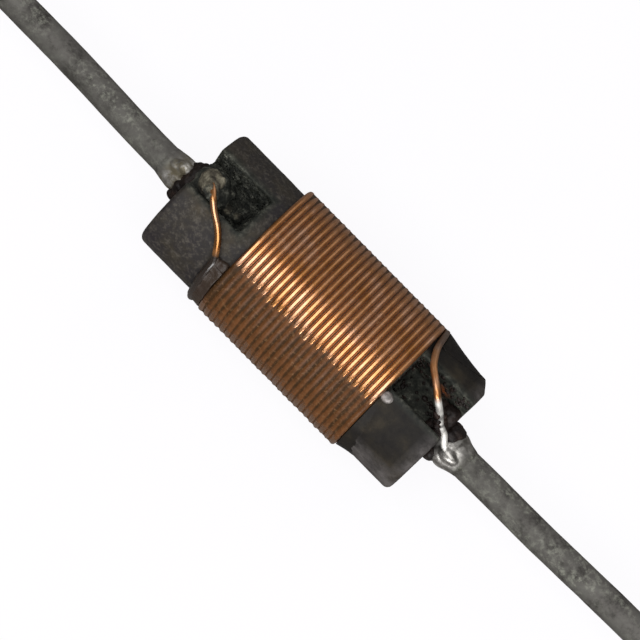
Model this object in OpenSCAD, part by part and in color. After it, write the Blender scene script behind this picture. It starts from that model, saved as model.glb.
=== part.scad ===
// Axial inductor: a slotted ferrite rod wound with one layer of enamelled copper wire, with a
// thick tinned lead held in each end. The rod lies along X, and both of its slots open to +Z.
// Angles around the rod are measured from +Z towards -Y.

/* [Core] */
// Diameter of the ferrite rod
core_d = 3.69; // [3:0.01:6]
// Length of the ferrite rod
core_len = 8.85; // [8:0.05:16]
// Rounding of the rod's end edges
edge_round = 0.15; // [0.05:0.01:0.25]

/* [End slots] */
// Width of the slot ground into each end
slot_w = 1.2; // [0.9:0.05:1.6]
// Length of each slot, from the end face inwards
slot_len = 1.77; // [1.4:0.01:2]
// Ferrite left between a slot's floor and the hole under it
slot_web = 0.12; // [0.08:0.01:0.3]

/* [Chipped corner] */
// Where around the rod the right end is chipped
chip_angle = -70; // [-120:5:-45]
// Length of the chip along the rod
chip_len = 0.25; // [0.1:0.01:0.4]
// Depth of the chip in the end face
chip_depth = 0.32; // [0.1:0.01:0.4]

/* [Winding] */
// Outer diameter of the enamelled wire
wire_d = 0.18; // [0.12:0.005:0.2]
// Gap between one turn and the next
turn_gap = 0.0064; // [0.004:0.0002:0.02]
// Number of close turns in the coil
turns = 26; // [10:1:28]
// How far the coil's middle lies to the right of the rod's middle
coil_shift = 0.26; // [0:0.02:0.4]
// Where around the rod the coil begins and ends
leave_angle = 290; // [275:5:300]
// How far the start turn stands off from the coil where its tail begins
start_open = 0.28; // [0.1:0.01:0.4]

/* [Leads] */
// Diameter of the tinned copper leads
lead_d = 0.81; // [0.6:0.01:1]
// Straight length of each lead beyond its solder
lead_len = 25.4; // [10:0.1:40]
// Depth of each lead in the rod
lead_embed = 2.6; // [2.2:0.05:3]
// Clearance around a lead in its hole
lead_clear = 0.025; // [0.01:0.005:0.06]
// Lean of the left lead, in degrees
lean_left = 1; // [0.5:0.1:3]
// Lean of the right lead, in degrees
lean_right = 1.2; // [0.5:0.1:3]

/* [Solder and cement] */
// Length of the solder along each lead
solder_len = 0.95; // [0.8:0.01:1.6]
// Radius of the left solder where it meets the rod
solder_r_left = 0.54; // [0.5:0.01:0.7]
// Radius of the right solder where it meets the rod
solder_r_right = 0.6; // [0.5:0.01:0.7]
// How far the solder swells over the wire's end
solder_swell = 0.13; // [0.05:0.01:0.2]
// Length of the cement in the left slot
cement_len_left = 0.8; // [0.5:0.05:1.2]
// Length of the cement in the right slot
cement_len_right = 0.5; // [0.3:0.05:1.2]
// Height of the cement over the left slot's floor
cement_top_left = 0.34; // [0.1:0.02:0.8]
// Height of the cement over the right slot's floor
cement_top_right = 0.12; // [0.1:0.02:0.8]

/* [Lacquer] */
// Reach of the right bead along the rod at its widest
bead_reach = 1.3; // [0.3:0.05:1.4]

/* [Hidden] */
$fn = 64;
// Facets around the rod, its rounded edges and a lump of cement
core_sides = 96;
edge_sides = 32;
lump_sides = 32;
// How far a cutting shape runs past what it cuts
past = 1;
// How far a wire's channel runs past the piece that it is cut from
channel_past = 0.1;
// Clearance between pieces that are cast or glued onto each other
cast_gap = 0.02;
// Clearance between the wire and what it lies on
wire_gap = 0.015;
// Swell of a lead at its bend
knee_swell = 0.004;
// Facets around the wire, around one turn of the coil, and along one span of a tail
wire_sides = 8;
turn_rings = 24;
tail_steps = 3;
// Number of rings in the start turn that come before the close turns
start_rings = 16;
// How sharply the start turn opens: 1 is evenly
open_bend = 1.15;
// How sharply the solder's cone thins out, and how full it is
cone_bend = 1.4;
cone_fullness = 2.2;
// Angles up and down from a wire's flank between which lacquer grips it
grip_over = 40;
grip_under = 55;
// Rings of the right bead along the last turn, and along the tail
bead_rings = 18;
bead_tail_rings = 7;
// Share of the right bead's way round the rod at which it is widest, and how sharply it gets there
bead_peak = 0.85;
bead_bend = 0.8;
// Angle of its last taper, and how hollow its slope is
bead_taper = 85;
bead_hollow = 1.3;
// Angles on the wire's flank between which the right bead's upper border climbs
bead_low = -20;
bead_high = 60;

core_r = core_d / 2;
face = core_len / 2;
lead_r = lead_d / 2;
hole_r = lead_r + lead_clear;
slot_floor = hole_r + slot_web;
slot_edge = asin(slot_w / core_d);
slot_rim = core_r * cos(slot_edge);
wire_r = wire_d / 2;
pitch = wire_d + turn_gap;
ring_step = 360 / turn_rings;
// The straight facet between two rings still clears the rod at this radius
coil_r = (core_r + wire_gap / 2 + wire_r) / cos(ring_step / 2);
coil_left = coil_shift - turns * pitch / 2;
coil_right = coil_left + turns * pitch;
floor_r = slot_floor + wire_gap + wire_r;
lead_top = lead_r + wire_gap + wire_r;

// Point at x along the rod, at angle a around it and distance r from its axis
function around(x, a, r) = [x, -r * sin(a), r * cos(a)];
function unit(v) = v / norm(v);
function mix(a, b, t) = a + (b - a) * t;

// Smooth curve through points, without the first and the last, which only set its direction
function curve_point(a, b, c, d, t) =
    (2 * b + (c - a) * t + (2 * a - 5 * b + 4 * c - d) * t * t
    + (3 * b - a - 3 * c + d) * t * t * t) / 2;
function curve(p) = [
    for (k = [1:len(p) - 3])
        for (s = [0:tail_steps - 1])
            curve_point(p[k - 1], p[k], p[k + 1], p[k + 2], s / tail_steps)];

// One place on the wire's centre line, as [x, angle, radius]. The turn before number 0 opens out.
function open_share(i) = i < 0 ? pow(-i / start_rings, open_bend) : 0;
function coil_place(i) = [
    coil_left + pitch * i / turn_rings - start_open * open_share(i),
    leave_angle + ring_step * i,
    coil_r];

// A place on a tail: its share of the way from the coil to the end face, its angle in half slot
// widths, and its share of the way down from the coil to the slot's floor
function tail_place(from, to, t) =
    [mix(from, to, t[0]), t[1] * slot_edge, mix(coil_r, floor_r, t[2])];

start_tail = [[0.97, 0.03, 0.94], [0.9, 0.16, 0.6], [0.794, 0.42, 0.15], [0.684, 0.77, 0],
    [0.577, 1.09, 0], [0.396, 1.52, 0], [0.277, 1.98, 0]];
finish_tail = [[0.01, -3.05, 0], [0.022, -2.37, 0], [0.056, -1.63, 0], [0.142, -1.05, 0],
    [0.245, -0.685, 0], [0.487, -0.13, 0], [0.624, 0, 0.22], [0.745, 0, 0.57],
    [0.854, 0.1, 0.9], [0.95, 0.3, 0.985]];
// The wire's ends outside the rod, as [distance from the end face, angle, radius]
start_end = [[0.5, 0, lead_top], [0.4, 0, lead_top], [0.3, 0, lead_top], [0.18, 0, lead_top],
    [0.03, 0, floor_r]];
finish_end = [[0.03, 11, floor_r * 1.02], [0.2, 26, lead_top], [0.34, 37, lead_top],
    [0.46, 43, lead_top], [0.56, 46, lead_top]];

coil_end = turns * turn_rings;
start_places = curve(concat(
    [for (e = start_end) [-face - e[0], e[1], e[2]]],
    [for (t = start_tail) tail_place(coil_left, -face, t)],
    [coil_place(-start_rings), coil_place(1 - start_rings)]));
coil_places = [for (i = [-start_rings:coil_end]) coil_place(i)];
finish_places = curve(concat(
    [for (i = [coil_end - 1, coil_end]) coil_place(i) - [0, 360 * (turns + 1), 0]],
    [for (t = finish_tail) tail_place(coil_right, face, t)],
    [for (e = finish_end) [face + e[0], e[1], e[2]]]));
wire_places = concat(start_places, coil_places, [for (i = [1:len(finish_places) - 1]) finish_places[i]]);
wire_path = [for (p = wire_places) around(p[0], p[1], p[2])];

// Ring of points at distance r around the wire's centre line, square to its run
function wire_ring(i, r) =
    let (
        here = wire_path[i],
        run = unit(wire_path[min(i + 1, len(wire_path) - 1)] - wire_path[max(i - 1, 0)]),
        out = around(0, wire_places[i][1], 1),
        up = unit(out - (out * run) * run),
        side = cross(up, run))
    [for (j = [0:wire_sides - 1])
        here + r * (cos(360 * j / wire_sides) * up + sin(360 * j / wire_sides) * side)];

// Solid skin over a row of rings that all have as many points
module skin(rings) {
    n = len(rings[0]);
    last = len(rings) - 1;
    walls = [
        for (i = [0:last - 1])
            for (j = [0:n - 1])
                let (a = i * n + j, b = i * n + (j + 1) % n)
                each [[a, b, b + n], [a, b + n, a + n]]];
    polyhedron(
        points = [for (ring = rings) each ring],
        faces = concat([[for (j = [n - 1:-1:0]) j]], walls, [[for (j = [0:n - 1]) last * n + j]]));
}

// Room for the wire, along the stretches of its tails between two distances from the rod's middle
module wire_channel(low, high) {
    count = len(wire_path);
    for (side = [-1, 1]) {
        rings = [for (i = [0:count - 1])
            if (side * wire_path[i].x > low && side * wire_path[i].x < high)
                wire_ring(i, wire_r + wire_gap)];
        skin(rings);
    }
}

// Cylinder along +X from the origin
module rod(h, r) {
    rotate([0, 90, 0]) cylinder(h = h, r = r);
}

// Lead of the right end. It leaves its solder straight and bends there towards +Y.
module lead(lean) {
    translate([face - lead_embed, 0, 0]) rod(lead_embed + solder_len, lead_r);
    translate([face + solder_len, 0, 0]) {
        sphere(r = lead_r + knee_swell);
        rotate([0, 0, lean]) rod(lead_len, lead_r);
    }
}

// Solder of the right end: a collar that tapers out along the lead and swells over the wire
module solder(r, swell_angle) {
    toe_r = lead_r + 2 * cast_gap;
    collar_len = solder_len - 5 * cast_gap;
    skirt = r * solder_swell / collar_len;
    profile = [for (s = [0:0.1:1])
        [toe_r + (r - toe_r) * pow(1 - s, cone_bend) * (1 + cone_fullness * s), s * collar_len]];
    difference() {
        intersection() {
            translate([face + cast_gap, -core_r, -core_r]) cube(core_d);
            translate([face + cast_gap, 0, 0])
                rotate([swell_angle, 0, 0])
                    translate([collar_len, 0, 0])
                        rotate([0, atan(solder_swell / collar_len), 0])
                            translate([-collar_len, 0, 0])
                                rotate([0, 90, 0])
                                    rotate_extrude()
                                        polygon(concat([[0, -skirt], [r, -skirt]], profile,
                                            [[0, collar_len]]));
        }
        translate([face - past, 0, 0]) rod(solder_len + 2 * past, lead_r + cast_gap / 2);
    }
}

// Cement of the right end: a low fill of the slot's mouth with lumps on it. A lump is given as
// [distance from the end face, y, height over the slot's floor, radius].
module cement(fill_len, fill_height, lumps) {
    intersection() {
        translate([face - slot_len + cast_gap, cast_gap - slot_w / 2, slot_floor + cast_gap])
            cube([slot_len - cast_gap, slot_w - 2 * cast_gap, core_r]);
        union() {
            translate([face - fill_len, -slot_w, 0])
                cube([fill_len, 2 * slot_w, slot_floor + fill_height]);
            for (l = lumps)
                translate([face - l[0], l[1], slot_floor + l[2]]) sphere(r = l[3], $fn = lump_sides);
        }
    }
}

module slot() {
    translate([face - slot_len, -slot_w / 2, slot_floor])
        cube([slot_len + past, slot_w, core_r]);
}

module ferrite_core() {
    color("#2f2d2f") difference() {
        rotate([0, 90, 0])
            rotate_extrude($fn = core_sides)
                union() {
                    polygon([[0, -face], [core_r - edge_round, -face], [core_r, edge_round - face],
                        [core_r, face - edge_round], [core_r - edge_round, face], [0, face]]);
                    for (s = [-1, 1])
                        translate([core_r - edge_round, s * (face - edge_round)])
                            circle(r = edge_round, $fn = edge_sides);
                }
        for (m = [0, 1])
            mirror([m, 0, 0]) {
                slot();
                translate([face - lead_embed, 0, 0]) rod(lead_embed + past, hole_r);
            }
        rotate([chip_angle, 0, 0])
            translate([face - chip_len, 0, core_r])
                rotate([0, atan(chip_depth / chip_len), 0])
                    translate([-core_r, -core_r, 0]) cube(core_d);
    }
}

module winding_wire() {
    color("#9a5a2b") skin([for (i = [0:len(wire_path) - 1]) wire_ring(i, wire_r)]);
}

module lead_left() {
    color("#8d8d88") mirror([1, 0, 0]) lead(lean_left);
}

module lead_right() {
    color("#8d8d88") lead(lean_right);
}

module solder_left() {
    color("#b9b9b4") difference() {
        mirror([1, 0, 0]) solder(solder_r_left, 0);
        wire_channel(face - channel_past, face + solder_len);
    }
}

module solder_right() {
    color("#b9b9b4") difference() {
        solder(solder_r_right, finish_end[1][1]);
        wire_channel(face - channel_past, face + solder_len);
    }
}

module cement_left() {
    lumps = [[0.46, 0.04, 0.42, 0.44], [0.44, -0.28, 0.55, 0.4], [0.66, -0.1, 0.4, 0.38],
        [0.8, 0.26, 0.14, 0.24], [1.06, -0.04, 0.06, 0.2], [1.4, 0.03, 0.04, 0.16]];
    color("#8f8c82") difference() {
        mirror([1, 0, 0]) cement(cement_len_left, cement_top_left, lumps);
        wire_channel(face - slot_len, face + channel_past);
    }
}

module cement_right() {
    lumps = [[0.24, 0.4, 0.1, 0.26], [0.16, 0.22, 0.02, 0.2], [0.2, -0.4, 0.06, 0.24],
        [0.5, 0.46, 0.02, 0.18]];
    color("#26211f") difference() {
        cement(cement_len_right, cement_top_right, lumps);
        wire_channel(face - slot_len, face + channel_past);
    }
}

// Arc of points around the wire at one place, from one angle to another in the plane through the
// rod's axis, where 0 points to the right and 90 away from the rod
function hug(place, from, to) = [
    for (s = [0:4])
        [place[0] + (wire_r + cast_gap) * cos(mix(from, to, s / 4)),
        place[2] + (wire_r + cast_gap) * sin(mix(from, to, s / 4))]];
function lift(outline, a) = [for (p = outline) around(p[0], a, p[1])];

module lacquer_bead_left() {
    // Fills the widening gap between the start turn and the first close turn
    color("#5a3a22") skin([
        for (i = [-5:-1:-start_rings])
            let (here = coil_place(i), next = coil_place(i + turn_rings))
            lift(concat(hug(here, grip_over, -grip_under), hug(next, 180 + grip_under, 180 - grip_over)),
                here[1])]);
}

module lacquer_bead_right() {
    // Fillet from the last turn down to the rod. It widens round the back as far as the tail,
    // and ends in a short taper.
    places = concat(
        [for (i = [coil_end - bead_rings:coil_end]) coil_place(i)],
        [for (i = [1:bead_tail_rings]) finish_places[i]]);
    last = len(places) - 1;
    color("#2b2628") skin([
        for (k = [0:last])
            let (
                share = k / last,
                grow = share < bead_peak
                    ? pow((share + cast_gap) / (bead_peak + cast_gap), bead_bend)
                    : cos(bead_taper * (share - bead_peak) / (1 - bead_peak)),
                hugged = hug(places[k], -grip_under, mix(bead_low, bead_high, grow)),
                top = hugged[4],
                toe = core_r + 1.5 * cast_gap,
                reach = bead_reach * grow,
                slope = [for (s = [1:4])
                    [top[0] + reach * s / 4, mix(toe, top[1], pow(1 - s / 4, bead_hollow))]],
                foot = [[top[0] + reach, core_r + cast_gap]])
            lift(concat(hugged, slope, foot), places[k][1])]);
}

ferrite_core();
winding_wire();
lead_left();
lead_right();
solder_left();
solder_right();
cement_left();
cement_right();
lacquer_bead_left();
lacquer_bead_right();
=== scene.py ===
"""Axial choke, dressed for a close view: a slotted ferrite rod with one layer of enamelled copper
wire, its tails soldered to two tinned leads. Every mesh is built in millimetres and then brought
to the frame's metres, because Blender's voxels can't be as fine as this part needs in metres."""

import math

import bmesh
import bpy
from bpy.props import FloatProperty, FloatVectorProperty, IntProperty, PointerProperty
from mathutils import Matrix, Vector, noise


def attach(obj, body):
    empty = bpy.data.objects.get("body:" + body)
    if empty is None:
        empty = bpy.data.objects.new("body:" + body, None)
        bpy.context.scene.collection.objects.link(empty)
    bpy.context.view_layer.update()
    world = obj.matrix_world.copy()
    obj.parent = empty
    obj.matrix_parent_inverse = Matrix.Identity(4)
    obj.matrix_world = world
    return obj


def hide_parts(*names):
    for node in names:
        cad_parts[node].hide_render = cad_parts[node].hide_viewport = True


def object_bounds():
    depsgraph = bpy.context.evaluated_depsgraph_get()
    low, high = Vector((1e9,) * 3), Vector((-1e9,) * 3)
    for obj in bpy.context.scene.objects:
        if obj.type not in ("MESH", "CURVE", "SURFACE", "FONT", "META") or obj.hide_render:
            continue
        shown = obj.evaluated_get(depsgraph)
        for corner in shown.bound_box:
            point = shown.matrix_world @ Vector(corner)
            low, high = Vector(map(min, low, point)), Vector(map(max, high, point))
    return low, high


bl_info = {
    "name": "Axial choke",
    "version": (1, 0, 0),
    "blender": (4, 5, 0),
    "location": "3D View > Sidebar > Choke",
    "description": "Dresses the frame of an axial choke: ferrite rod, winding, leads, solder, cement and lacquer",
    "category": "Object",
}

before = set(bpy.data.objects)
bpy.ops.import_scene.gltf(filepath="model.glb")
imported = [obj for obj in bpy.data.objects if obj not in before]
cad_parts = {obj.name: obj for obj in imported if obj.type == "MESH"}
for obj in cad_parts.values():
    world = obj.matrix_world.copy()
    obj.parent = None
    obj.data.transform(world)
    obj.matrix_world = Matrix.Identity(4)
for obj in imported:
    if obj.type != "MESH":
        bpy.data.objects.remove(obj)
cad_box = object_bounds()

MM = 0.001

# Sizes of the frame, in millimetres and degrees
CORE_R = 1.845
FACE = 4.425
SLOT_W = 1.2
SLOT_FLOOR = 0.55
SLOT_LEN = 1.77
SLOT_EDGE = math.degrees(math.asin(SLOT_W / 2 / CORE_R))
SLOT_RIM = CORE_R * math.cos(math.radians(SLOT_EDGE))
COIL_R = 1.952
PITCH = 0.1864
TURNS = 26
COIL_LEFT = 0.26 - TURNS * PITCH / 2
COIL_RIGHT = COIL_LEFT + TURNS * PITCH
LEAVE_ANGLE = 290
START_OPEN = 0.28
START_SHARE = 16 / 24
FLOOR_R = 0.655
LEAD_TOP = 0.51
LEAD_R = 0.405
LEAD_LEN = 25.4
SOLDER_LEN = 0.95
LEAN = {"left": 1.0, "right": 1.2}

# Places of the two tails: share of the way from the coil to the end face, angle in half slot
# widths, and share of the way down from the coil to the slot's floor
START_TAIL = ((0.97, 0.03, 0.94), (0.9, 0.16, 0.6), (0.794, 0.42, 0.15), (0.684, 0.77, 0),
              (0.577, 1.09, 0), (0.396, 1.52, 0), (0.277, 1.98, 0))
FINISH_TAIL = ((0.01, -3.05, 0), (0.022, -2.37, 0), (0.056, -1.63, 0), (0.142, -1.05, 0),
               (0.245, -0.685, 0), (0.487, -0.13, 0), (0.624, 0, 0.22), (0.745, 0, 0.57),
               (0.854, 0.1, 0.9), (0.95, 0.3, 0.985))
# The wire's ends outside the rod: distance from the end face, angle, radius
START_END = ((0.5, 0, LEAD_TOP), (0.4, 0, LEAD_TOP), (0.3, 0, LEAD_TOP), (0.18, 0, LEAD_TOP),
             (0.03, 0, FLOOR_R))
FINISH_END = ((0.03, 11, FLOOR_R * 1.02), (0.2, 26, LEAD_TOP), (0.34, 37, LEAD_TOP),
              (0.46, 43, LEAD_TOP), (0.56, 46, LEAD_TOP))


# Where the pale cement stands dry: centre and radius
DRY_HEAPS = (((-4.03, -0.16, 1.62), 0.36), ((-3.84, -0.36, 1.8), 0.16), ((-3.62, 0.28, 0.75), 0.13), ((-3.36, -0.05, 0.72), 0.12),
             ((-3.03, 0.02, 0.68), 0.08))


def linear(colour):
    """An sRGB colour, as a hex string or as three numbers, as linear RGBA."""
    if isinstance(colour, str):
        colour = [int(colour[i:i + 2], 16) / 255 for i in (1, 3, 5)]
    return tuple(c / 12.92 if c <= 0.04045 else ((c + 0.055) / 1.055) ** 2.4 for c in colour) + (1.0,)


def put(tree, kind, inputs=None, stops=None, **settings):
    """Adds one node to a tree, with its settings, the stops of its ramp, and the values or links of its inputs."""
    made = tree.nodes.new(kind)
    for name, value in settings.items():
        setattr(made, name, value)
    for i, (place, colour) in enumerate(stops or ()):
        stop = made.color_ramp.elements[i] if i < 2 else made.color_ramp.elements.new(place)
        stop.position, stop.color = place, linear(colour)
    for name, value in (inputs or {}).items():
        socket = made.inputs[name] if isinstance(name, int) else next(
            s for s in made.inputs if s.name == name and s.enabled)
        if isinstance(value, bpy.types.Node):
            value = next(s for s in value.outputs if s.enabled)
        if isinstance(value, bpy.types.NodeSocket):
            tree.links.new(value, socket)
        else:
            socket.default_value = value
    return made


# ---------------------------------------------------------------- trees of geometry nodes


def new_tree(name, sockets):
    """A tree of geometry nodes with a geometry input and output and the named sizes between them."""
    tree = bpy.data.node_groups.new(name, "GeometryNodeTree")
    tree.interface.new_socket("Geometry", in_out="INPUT", socket_type="NodeSocketGeometry")
    for label, kind, default in sockets:
        socket = tree.interface.new_socket(label, in_out="INPUT", socket_type="NodeSocket" + kind)
        if default is not None:
            socket.default_value = default
    tree.interface.new_socket("Geometry", in_out="OUTPUT", socket_type="NodeSocketGeometry")
    return tree, tree.nodes.new("NodeGroupInput").outputs


def end_tree(tree, geometry, material):
    """Ends a tree in Realize Instances and Set Material."""
    real = put(tree, "GeometryNodeRealizeInstances", {"Geometry": geometry})
    done = put(tree, "GeometryNodeSetMaterial", {"Geometry": real, "Material": material})
    put(tree, "NodeGroupOutput", {"Geometry": done})
    return tree


def worn_surface_tree():
    """Lumps, grain and chipped edges on a closed voxel mesh. The wear is kept as the attribute edge."""
    tree, given = new_tree("worn_surface", (
        ("Lump size", "Float", 0.5), ("Lump height", "Float", 0.01), ("Grain size", "Float", 0.1),
        ("Grain height", "Float", 0.004), ("Edge wear", "Float", 0.0), ("Edge reach", "Int", 6),
        ("Seed", "Float", 0.0), ("Material", "Material", None)))
    place = put(tree, "GeometryNodeInputPosition")
    normal = put(tree, "GeometryNodeInputNormal")
    seeded = put(tree, "ShaderNodeVectorMath", {0: place, 1: put(
        tree, "ShaderNodeCombineXYZ", {"X": given["Seed"], "Y": given["Seed"]})}, operation="ADD")
    blurred = put(tree, "GeometryNodeBlurAttribute", {"Value": place, "Iterations": given["Edge reach"]},
                  data_type="FLOAT_VECTOR")
    bulge = put(tree, "ShaderNodeVectorMath", {0: put(
        tree, "ShaderNodeVectorMath", {0: place, 1: blurred}, operation="SUBTRACT"), 1: normal},
        operation="DOT_PRODUCT").outputs["Value"]
    edge = put(tree, "ShaderNodeMapRange", {"Value": bulge, "From Min": 0.004, "From Max": 0.03})
    lumps, grain = (
        put(tree, "ShaderNodeMath", {0: put(tree, "ShaderNodeTexNoise", {
            "Vector": seeded, "Scale": put(tree, "ShaderNodeMath", {0: 1.0, 1: given[size]}, operation="DIVIDE"),
            "Detail": detail}), 1: 0.5}, operation="SUBTRACT")
        for size, detail in (("Lump size", 2.0), ("Grain size", 3.0)))
    chips = put(tree, "ShaderNodeMapRange", {"Value": put(tree, "ShaderNodeTexNoise", {
        "Vector": seeded, "Scale": 2.6, "Detail": 5.0, "Roughness": 0.7}), "From Min": 0.42, "From Max": 0.68})
    wear = put(tree, "ShaderNodeMath", {0: edge, 1: chips}, operation="MULTIPLY")
    rise = put(tree, "ShaderNodeMath", {0: lumps, 1: given["Lump height"], 2: put(
        tree, "ShaderNodeMath", {0: grain, 1: given["Grain height"]}, operation="MULTIPLY")},
        operation="MULTIPLY_ADD")
    fall = put(tree, "ShaderNodeMath", {0: wear, 1: given["Edge wear"]}, operation="MULTIPLY")
    height = put(tree, "ShaderNodeMath", {0: put(
        tree, "ShaderNodeMath", {0: rise, 1: 2.0}, operation="MULTIPLY"), 1: fall}, operation="SUBTRACT")
    marked = put(tree, "GeometryNodeStoreNamedAttribute", {
        "Geometry": given["Geometry"], "Name": "edge", "Value": edge}, data_type="FLOAT", domain="POINT")
    moved = put(tree, "GeometryNodeSetPosition", {"Geometry": marked, "Offset": put(
        tree, "ShaderNodeVectorMath", {0: normal, "Scale": height}, operation="SCALE")})
    smooth = put(tree, "GeometryNodeSetShadeSmooth", {"Geometry": moved})
    return end_tree(tree, smooth, given["Material"])


def drawn_wire_tree():
    """Round wire along a row of points, with the faint unevenness that drawing and handling leave."""
    tree, given = new_tree("drawn_wire", (
        ("Radius", "Float", 0.1), ("Sides", "Int", 12), ("Unevenness", "Float", 0.001),
        ("Patch size", "Float", 0.5), ("Material", "Material", None)))
    path = put(tree, "GeometryNodeMeshToCurve", {"Mesh": given["Geometry"]})
    ring = put(tree, "GeometryNodeCurvePrimitiveCircle", {"Resolution": given["Sides"], "Radius": given["Radius"]})
    tube = put(tree, "GeometryNodeCurveToMesh", {"Curve": path, "Profile Curve": ring, "Fill Caps": True})
    patches = put(tree, "ShaderNodeMath", {0: put(tree, "ShaderNodeTexNoise", {
        "Scale": put(tree, "ShaderNodeMath", {0: 1.0, 1: given["Patch size"]}, operation="DIVIDE"),
        "Detail": 2.0}), 1: 0.5}, operation="SUBTRACT")
    moved = put(tree, "GeometryNodeSetPosition", {"Geometry": tube, "Offset": put(
        tree, "ShaderNodeVectorMath", {0: put(tree, "GeometryNodeInputNormal"), "Scale": put(
            tree, "ShaderNodeMath", {0: patches, 1: given["Unevenness"]}, operation="MULTIPLY")},
        operation="SCALE")})
    smooth = put(tree, "GeometryNodeSetShadeSmooth", {"Geometry": moved})
    return end_tree(tree, smooth, given["Material"])


def crumbs_tree():
    """Crumbs strewn over the faces of a mesh, each a little squashed lump, without the mesh itself."""
    tree, given = new_tree("strewn_crumbs", (
        ("Density", "Float", 20.0), ("Smallest", "Float", 0.02), ("Largest", "Float", 0.08), ("Seed", "Int", 1),
        ("Material", "Material", None)))
    spots = put(tree, "GeometryNodeDistributePointsOnFaces", {
        "Mesh": given["Geometry"], "Density": given["Density"], "Seed": given["Seed"]})
    lump = put(tree, "GeometryNodeMeshIcoSphere", {"Radius": 1.0, "Subdivisions": 2})
    size = put(tree, "FunctionNodeRandomValue", {"Min": given["Smallest"], "Max": given["Largest"],
                                                 "Seed": given["Seed"]}, data_type="FLOAT")
    squash = put(tree, "FunctionNodeRandomValue", {"Min": (0.5, 0.5, 0.4), "Max": (1.3, 1.3, 0.9),
                                                   "Seed": given["Seed"]}, data_type="FLOAT_VECTOR")
    scale = put(tree, "ShaderNodeVectorMath", {0: squash, "Scale": size}, operation="SCALE")
    strewn = put(tree, "GeometryNodeInstanceOnPoints", {
        "Points": spots.outputs["Points"], "Instance": lump.outputs["Mesh"],
        "Rotation": spots.outputs["Rotation"], "Scale": scale})
    smooth = put(tree, "GeometryNodeSetShadeSmooth", {"Geometry": put(
        tree, "GeometryNodeRealizeInstances", {"Geometry": strewn})})
    return end_tree(tree, smooth, given["Material"])


# ---------------------------------------------------------------- materials


def surface(name):
    """A new material: its tree, its object coordinates in millimetres, and its shader."""
    material = bpy.data.materials.new(name)
    material.use_nodes = True
    tree = material.node_tree
    tree.nodes.clear()
    shader = put(tree, "ShaderNodeBsdfPrincipled")
    put(tree, "ShaderNodeOutputMaterial", {"Surface": shader})
    coords = put(tree, "ShaderNodeTexCoord").outputs["Object"]
    place = put(tree, "ShaderNodeMapping", {"Vector": coords, "Scale": (1 / MM,) * 3})
    return material, tree, place, shader


def fill(tree, shader, **values):
    """Sets or links the shader's own sockets, named with _ for a space."""
    for name, value in values.items():
        socket = shader.inputs[name.replace("_", " ")]
        if isinstance(value, bpy.types.Node):
            value = next(s for s in value.outputs if s.enabled)
        if isinstance(value, bpy.types.NodeSocket):
            tree.links.new(value, socket)
        else:
            socket.default_value = value


def ferrite_face(tree, place, charcoal):
    """Colour, grain and clouds of sintered ferrite: charcoal, purplish here and olive there, with fine dust."""
    clouds = put(tree, "ShaderNodeTexNoise", {"Vector": place, "Scale": 0.6, "Detail": 6.0, "Roughness": 0.66})
    tint = put(tree, "ShaderNodeValToRGB", {"Fac": clouds}, stops=(
        (0.34, "#1a161b"), (0.47, tuple(charcoal)), (0.56, "#262119"), (0.68, "#3b3325")))
    # Press grain of about 0.05 mm, drawn at 0.12 mm so that it shows
    grain = put(tree, "ShaderNodeTexNoise", {"Vector": place, "Scale": 7.0, "Detail": 7.0, "Roughness": 0.8})
    # Pale specks thicken towards the left end, and the face is darkened towards the right end
    towards_left_end = put(tree, "ShaderNodeMapRange", {"Value": put(tree, "ShaderNodeSeparateXYZ", {
        "Vector": place}).outputs["X"], "From Min": -3.0, "From Max": 2.5, "To Min": 0.9, "To Max": 0.15})
    specks = put(tree, "ShaderNodeMath", {0: put(tree, "ShaderNodeMapRange", {
        "Value": grain, "From Min": 0.49, "From Max": 0.66}), 1: towards_left_end}, operation="MULTIPLY")
    dusted = put(tree, "ShaderNodeMix", {"Factor": specks, "A": tint, "B": linear("#48433c")}, data_type="RGBA")
    # Towards the right end, and more in some clouds, the face is darkened almost to black
    rightward_darkening = put(tree, "ShaderNodeMath", {0: put(tree, "ShaderNodeMapRange", {
        "Value": towards_left_end, "From Min": 0.15, "From Max": 0.6, "To Min": 0.85, "To Max": 0.0}), 1: put(
        tree, "ShaderNodeMapRange", {"Value": clouds, "From Min": 0.42, "From Max": 0.62, "To Min": 1.0,
                                     "To Max": 0.55})}, operation="MULTIPLY")
    colour = put(tree, "ShaderNodeMix", {"Factor": rightward_darkening, "A": dusted, "B": linear("#0d0b0a")}, data_type="RGBA")
    return colour, grain, clouds, rightward_darkening


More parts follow.
